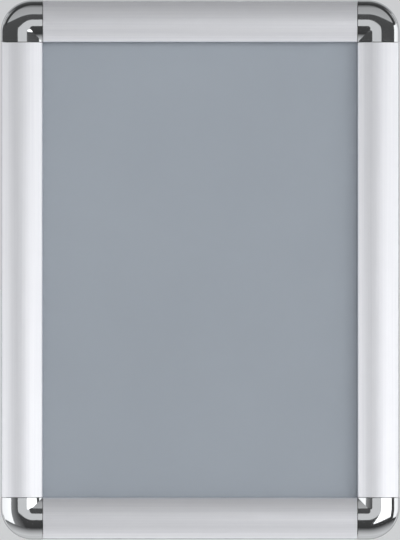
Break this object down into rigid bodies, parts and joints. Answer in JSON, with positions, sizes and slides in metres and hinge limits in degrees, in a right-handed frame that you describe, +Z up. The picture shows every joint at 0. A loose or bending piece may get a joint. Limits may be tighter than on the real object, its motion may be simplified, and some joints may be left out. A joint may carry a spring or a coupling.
{
  "type": "snap clip frame",
  "caption": "Wall-mounted snap frame for a portrait sheet: four hinged clip rails with leaf springs, round chrome corners, clear cover sheet over a grey back panel.",
  "frame": {"origin": "middle of the back, in the wall plane, at the centre of the four wall screws", "axes": "+X to the right seen from the front, +Z up along the height, front faces -Y and the wall is at Y = 0"},
  "size_m": [0.247, 0.0115, 0.334],
  "materials": {
    "base_aluminium": "satin anodised extrusion",
    "cover_aluminium": "satin anodised extrusion",
    "spring_steel": "rolled spring steel strip",
    "chrome_abs": "bright chrome plate on moulded plastic",
    "black_nylon": "moulded black nylon",
    "zinc_steel": "zinc plated",
    "polystyrene_board": "smooth grey sheet",
    "clear_film": "clear matte anti-glare plastic sheet"
  },
  "bodies": {
    "frame": {"base_rail_bottom": "base_aluminium", "spring_bottom_1": "spring_steel", "spring_bottom_2": "spring_steel", "base_rail_right": "base_aluminium", "spring_right_1": "spring_steel", "spring_right_2": "spring_steel", "base_rail_top": "base_aluminium", "spring_top_1": "spring_steel", "spring_top_2": "spring_steel", "base_rail_left": "base_aluminium", "spring_left_1": "spring_steel", "spring_left_2": "spring_steel", "corner_cap_bottom_left": "chrome_abs", "corner_connector_bottom_left": "black_nylon", "corner_cap_bottom_right": "chrome_abs", "corner_connector_bottom_right": "black_nylon", "corner_cap_top_right": "chrome_abs", "corner_connector_top_right": "black_nylon", "corner_cap_top_left": "chrome_abs", "corner_connector_top_left": "black_nylon", "connector_screws": "zinc_steel", "cap_screws": "zinc_steel", "back_panel": "polystyrene_board", "cover_sheet": "clear_film"},
    "cover_bottom": {"cover_rail_bottom": "cover_aluminium"},
    "cover_right": {"cover_rail_right": "cover_aluminium"},
    "cover_top": {"cover_rail_top": "cover_aluminium"},
    "cover_left": {"cover_rail_left": "cover_aluminium"}
  },
  "joints": [
    {"name": "open_bottom", "type": "hinge", "parent": "frame", "child": "cover_bottom", "pos_m": [0, -0.007, -0.1648], "axis": [1, 0, 0], "range_deg": [0, 95], "deforming": ["spring_bottom_1", "spring_bottom_2"]},
    {"name": "open_right", "type": "hinge", "parent": "frame", "child": "cover_right", "pos_m": [0.1213, -0.007, 0], "axis": [0, 0, 1], "range_deg": [0, 95], "deforming": ["spring_right_1", "spring_right_2"]},
    {"name": "open_top", "type": "hinge", "parent": "frame", "child": "cover_top", "pos_m": [0, -0.007, 0.1648], "axis": [-1, 0, 0], "range_deg": [0, 95], "deforming": ["spring_top_1", "spring_top_2"]},
    {"name": "open_left", "type": "hinge", "parent": "frame", "child": "cover_left", "pos_m": [-0.1213, -0.007, 0], "axis": [0, 0, -1], "range_deg": [0, 95], "deforming": ["spring_left_1", "spring_left_2"]}
  ]
}
